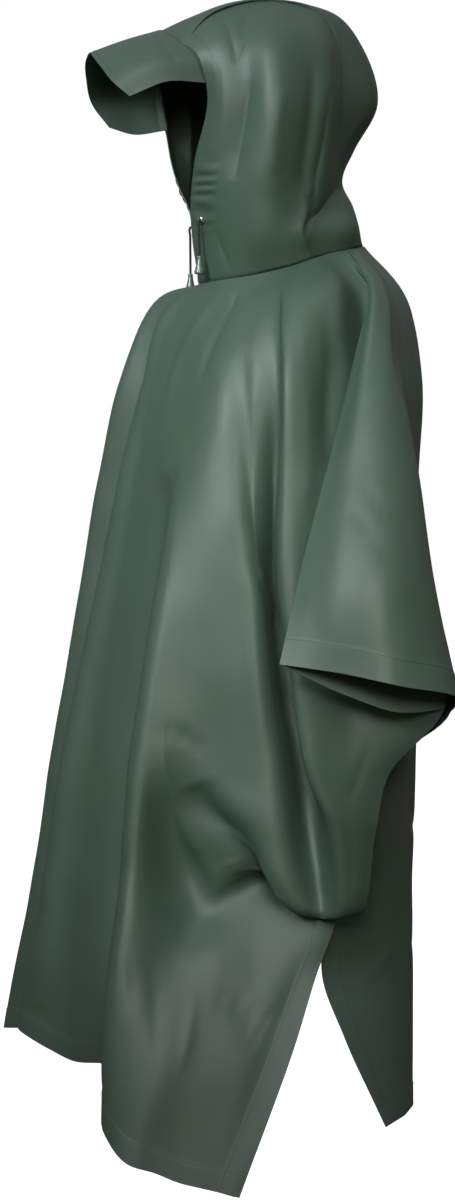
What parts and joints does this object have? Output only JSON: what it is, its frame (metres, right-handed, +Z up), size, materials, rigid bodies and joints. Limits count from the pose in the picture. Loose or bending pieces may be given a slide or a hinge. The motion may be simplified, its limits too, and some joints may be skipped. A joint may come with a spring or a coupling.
{
  "type": "rain poncho garment",
  "caption": "Hooded rain poncho in coated cloth, hanging in its worn form and empty, with a stiff peak, wide sleeve openings, open side vents and a drawcord at the throat.",
  "frame": {"origin": "middle of the neck seam, where the wearer's neck holds the garment", "axes": "+Z up, -Y the way the face opening looks, +X the wearer's left"},
  "size_m": [0.7834, 0.4684, 1.3249],
  "materials": {
    "coated_fabric": "smooth polyurethane-coated polyester taffeta, satin",
    "eyelet_metal": "nickel-plated brass, satin",
    "braided_cord": "round braided polyester",
    "moulded_plastic": "moulded nylon, semi-gloss"
  },
  "bodies": {
    "root": {"front_panel": "coated_fabric", "back_panel": "coated_fabric", "hood_side_left": "coated_fabric", "hood_side_right": "coated_fabric", "hood_centre": "coated_fabric", "peak": "coated_fabric", "eyelet_left": "eyelet_metal", "eyelet_right": "eyelet_metal", "drawcord_left": "braided_cord", "drawcord_right": "braided_cord", "cord_end_left": "moulded_plastic", "cord_end_right": "moulded_plastic"}
  },
  "joints": []
}
